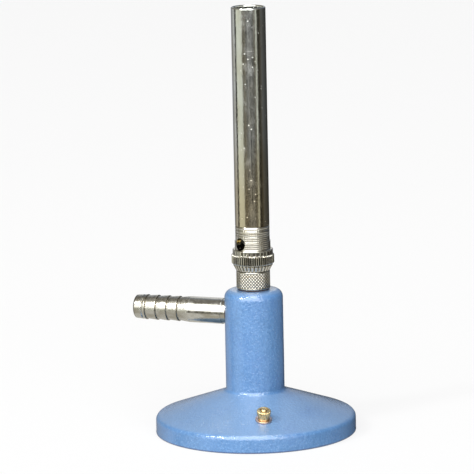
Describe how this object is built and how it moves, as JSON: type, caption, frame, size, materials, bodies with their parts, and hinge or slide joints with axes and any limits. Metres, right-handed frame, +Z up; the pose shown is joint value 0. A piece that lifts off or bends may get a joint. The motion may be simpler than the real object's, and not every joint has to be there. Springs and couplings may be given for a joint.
{
  "type": "bunsen burner",
  "caption": "Laboratory gas burner: round weighted base, barbed hose inlet on the column, screw-on flame tube and a knurled collar that turns to set the air.",
  "frame": {"origin": "on the burner's axis, in the plane that the base stands on", "axes": "+Z up along the flame tube, -X along the hose nozzle, away from the column"},
  "size_m": [0.0857, 0.076, 0.162],
  "materials": {
    "blue_enamel": "glossy enamel with a fine hammered, orange-peel surface",
    "nozzle_nickel": "polished nickel plate over turned brass",
    "knurled_nickel": "nickel plate over knurled brass",
    "tube_chrome": "bright plate with fine pitting and drawing marks along the tube",
    "jet_brass": "turned, bare",
    "terminal_brass": "polished, slightly tarnished",
    "washer_copper": "dull, reddish",
    "spring_steel": "plain",
    "fibre": "vulcanised fibre, dark and dull"
  },
  "bodies": {
    "root": {"base_casting": "blue_enamel", "nozzle_seal_washer": "fibre", "hose_nozzle": "nozzle_nickel", "jet_body_gasket": "fibre", "jet_body": "knurled_nickel", "gas_jet": "jet_brass", "terminal_inner_washer": "spring_steel", "terminal_screw": "terminal_brass"},
    "drag_ring": {"regulator_drag_ring": "spring_steel"},
    "barrel": {"barrel_foot": "knurled_nickel", "barrel_tube": "tube_chrome"},
    "regulator": {"air_regulator": "knurled_nickel"},
    "nut_washer": {"terminal_washer": "washer_copper"},
    "thumb_nut": {"terminal_thumb_nut": "terminal_brass"}
  },
  "joints": [
    {"name": "barrel_lift", "type": "slide", "parent": "root", "child": "drag_ring", "axis": [0, 0, 1], "range_m": [0, 0.005]},
    {"name": "barrel_turn", "type": "hinge", "parent": "drag_ring", "child": "barrel", "pos_m": [0, 0, 0.0643], "axis": [0, 0, 1], "range_deg": [0, 1800]},
    {"name": "regulator_turn", "type": "hinge", "parent": "barrel", "child": "regulator", "pos_m": [0, 0, 0.0666], "axis": [0, 0, 1], "continuous": true},
    {"name": "thumb_nut_lift", "type": "slide", "parent": "root", "child": "nut_washer", "axis": [0.1488, -0.2997, 0.9424], "range_m": [0, 0.00135]},
    {"name": "thumb_nut_turn", "type": "hinge", "parent": "nut_washer", "child": "thumb_nut", "pos_m": [0.01207, -0.02432, 0.01036], "axis": [0.1488, -0.2997, 0.9424], "range_deg": [0, 1080]}
  ],
  "couplings": [
    {"joint": "barrel_turn", "follows": "barrel_lift", "rad_per_m": 6283.2},
    {"joint": "thumb_nut_turn", "follows": "thumb_nut_lift", "rad_per_m": 13963}
  ]
}
